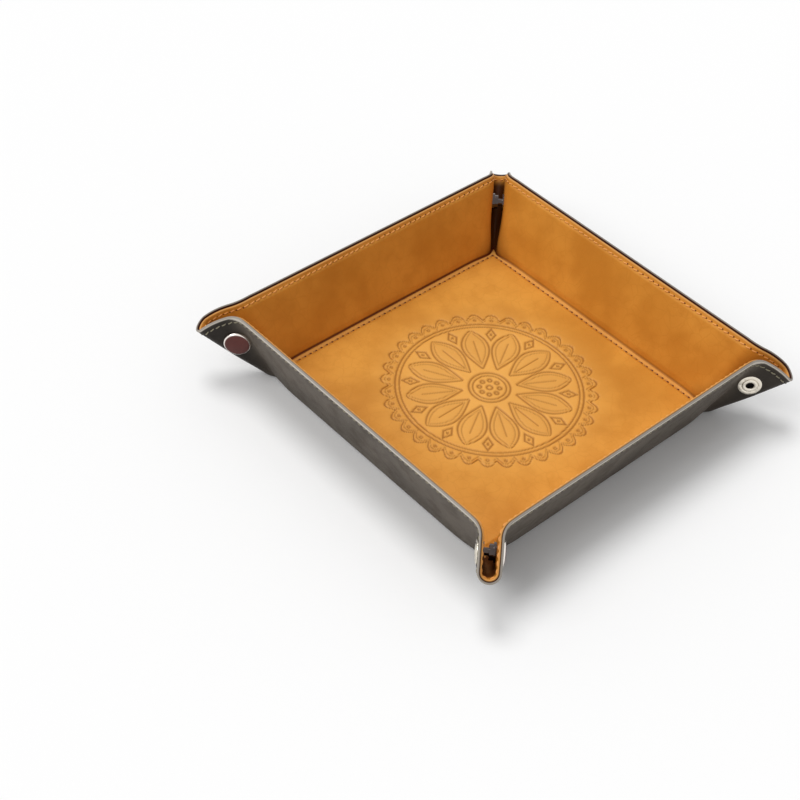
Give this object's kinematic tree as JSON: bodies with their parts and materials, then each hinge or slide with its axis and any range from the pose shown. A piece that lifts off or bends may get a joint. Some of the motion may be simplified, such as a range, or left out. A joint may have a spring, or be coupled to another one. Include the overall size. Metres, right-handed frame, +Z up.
{
  "type": "dice tray",
  "caption": "Square snap-up dice tray of two-sided leather, whose walls fold flat when the corner snaps open.",
  "frame": {"origin": "centre of the tray's underside, on the surface that it stands on", "axes": "+Z up out of the open top; X and Y square to the walls, with the front wall at -Y"},
  "size_m": [0.2314, 0.2314, 0.0464],
  "materials": {
    "grey_leather": "matte grey faux leather with fine creases",
    "tan_leather": "satin tan leather",
    "board": "plain grey board",
    "thread": "waxed thread",
    "chrome": "bright nickel plate"
  },
  "bodies": {
    "base": {"base_outer_leather": "grey_leather", "base_inner_leather": "tan_leather", "base_board": "board", "base_stitching": "thread"},
    "front_wall": {"front_wall_outer_leather": "grey_leather", "front_wall_inner_leather": "tan_leather", "front_wall_board": "board", "front_wall_stitching": "thread"},
    "back_wall": {"back_wall_outer_leather": "grey_leather", "back_wall_inner_leather": "tan_leather", "back_wall_board": "board", "back_wall_stitching": "thread"},
    "left_wall": {"left_wall_outer_leather": "grey_leather", "left_wall_inner_leather": "tan_leather", "left_wall_board": "board", "left_wall_stitching": "thread"},
    "right_wall": {"right_wall_outer_leather": "grey_leather", "right_wall_inner_leather": "tan_leather", "right_wall_board": "board", "right_wall_stitching": "thread"},
    "front_cap_flap": {"front_cap_flap_outer_leather": "grey_leather", "front_cap_flap_inner_leather": "tan_leather", "front_cap_flap_stitching": "thread", "front_snap_cap": "chrome", "front_snap_socket": "chrome"},
    "front_stud_flap": {"front_stud_flap_outer_leather": "grey_leather", "front_stud_flap_inner_leather": "tan_leather", "front_stud_flap_stitching": "thread", "front_snap_stud": "chrome", "front_snap_eyelet": "chrome"},
    "back_cap_flap": {"back_cap_flap_outer_leather": "grey_leather", "back_cap_flap_inner_leather": "tan_leather", "back_cap_flap_stitching": "thread", "back_snap_cap": "chrome", "back_snap_socket": "chrome"},
    "back_stud_flap": {"back_stud_flap_outer_leather": "grey_leather", "back_stud_flap_inner_leather": "tan_leather", "back_stud_flap_stitching": "thread", "back_snap_stud": "chrome", "back_snap_eyelet": "chrome"},
    "left_cap_flap": {"left_cap_flap_outer_leather": "grey_leather", "left_cap_flap_inner_leather": "tan_leather", "left_cap_flap_stitching": "thread", "left_snap_cap": "chrome", "left_snap_socket": "chrome"},
    "left_stud_flap": {"left_stud_flap_outer_leather": "grey_leather", "left_stud_flap_inner_leather": "tan_leather", "left_stud_flap_stitching": "thread", "left_snap_stud": "chrome", "left_snap_eyelet": "chrome"},
    "right_cap_flap": {"right_cap_flap_outer_leather": "grey_leather", "right_cap_flap_inner_leather": "tan_leather", "right_cap_flap_stitching": "thread", "right_snap_cap": "chrome", "right_snap_socket": "chrome"},
    "right_stud_flap": {"right_stud_flap_outer_leather": "grey_leather", "right_stud_flap_inner_leather": "tan_leather", "right_stud_flap_stitching": "thread", "right_snap_stud": "chrome", "right_snap_eyelet": "chrome"}
  },
  "joints": [
    {"name": "front_wall_fold", "type": "hinge", "parent": "base", "child": "front_wall", "pos_m": [0, -0.086, 0.0011], "axis": [1, 0, 0], "range_deg": [0, 71]},
    {"name": "back_wall_fold", "type": "hinge", "parent": "base", "child": "back_wall", "pos_m": [0, 0.086, 0.0011], "axis": [-1, 0, 0], "range_deg": [0, 71]},
    {"name": "left_wall_fold", "type": "hinge", "parent": "base", "child": "left_wall", "pos_m": [-0.086, 0, 0.0011], "axis": [0, -1, 0], "range_deg": [0, 71]},
    {"name": "right_wall_fold", "type": "hinge", "parent": "base", "child": "right_wall", "pos_m": [0.086, 0, 0.0011], "axis": [0, 1, 0], "range_deg": [0, 71]},
    {"name": "front_cap_flap_bend", "type": "hinge", "parent": "front_wall", "child": "front_cap_flap", "pos_m": [-0.07964, -0.086, 0.0011], "axis": [0.3096, 0.3096, -0.8991], "range_deg": [0, 48.05]},
    {"name": "front_stud_flap_bend", "type": "hinge", "parent": "front_wall", "child": "front_stud_flap", "pos_m": [0.07964, -0.086, 0.0011], "axis": [0.3096, -0.3096, 0.8991], "range_deg": [0, 48.05]},
    {"name": "back_cap_flap_bend", "type": "hinge", "parent": "back_wall", "child": "back_cap_flap", "pos_m": [0.07964, 0.086, 0.0011], "axis": [-0.3096, -0.3096, -0.8991], "range_deg": [0, 48.05]},
    {"name": "back_stud_flap_bend", "type": "hinge", "parent": "back_wall", "child": "back_stud_flap", "pos_m": [-0.07964, 0.086, 0.0011], "axis": [-0.3096, 0.3096, 0.8991], "range_deg": [0, 48.05]},
    {"name": "left_cap_flap_bend", "type": "hinge", "parent": "left_wall", "child": "left_cap_flap", "pos_m": [-0.086, 0.07964, 0.0011], "axis": [0.3096, -0.3096, -0.8991], "range_deg": [0, 48.05]},
    {"name": "left_stud_flap_bend", "type": "hinge", "parent": "left_wall", "child": "left_stud_flap", "pos_m": [-0.086, -0.07964, 0.0011], "axis": [-0.3096, -0.3096, 0.8991], "range_deg": [0, 48.05]},
    {"name": "right_cap_flap_bend", "type": "hinge", "parent": "right_wall", "child": "right_cap_flap", "pos_m": [0.086, -0.07964, 0.0011], "axis": [-0.3096, 0.3096, -0.8991], "range_deg": [0, 48.05]},
    {"name": "right_stud_flap_bend", "type": "hinge", "parent": "right_wall", "child": "right_stud_flap", "pos_m": [0.086, 0.07964, 0.0011], "axis": [0.3096, 0.3096, 0.8991], "range_deg": [0, 48.05]}
  ],
  "couplings": [
    {"joint": "back_wall_fold", "follows": "front_wall_fold", "ratio": 1},
    {"joint": "left_wall_fold", "follows": "front_wall_fold", "ratio": 1},
    {"joint": "right_wall_fold", "follows": "front_wall_fold", "ratio": 1},
    {"joint": "front_cap_flap_bend", "follows": "front_wall_fold", "ratio": 0.67665},
    {"joint": "front_stud_flap_bend", "follows": "front_wall_fold", "ratio": 0.67665},
    {"joint": "back_cap_flap_bend", "follows": "front_wall_fold", "ratio": 0.67665},
    {"joint": "back_stud_flap_bend", "follows": "front_wall_fold", "ratio": 0.67665},
    {"joint": "left_cap_flap_bend", "follows": "front_wall_fold", "ratio": 0.67665},
    {"joint": "left_stud_flap_bend", "follows": "front_wall_fold", "ratio": 0.67665},
    {"joint": "right_cap_flap_bend", "follows": "front_wall_fold", "ratio": 0.67665},
    {"joint": "right_stud_flap_bend", "follows": "front_wall_fold", "ratio": 0.67665}
  ]
}
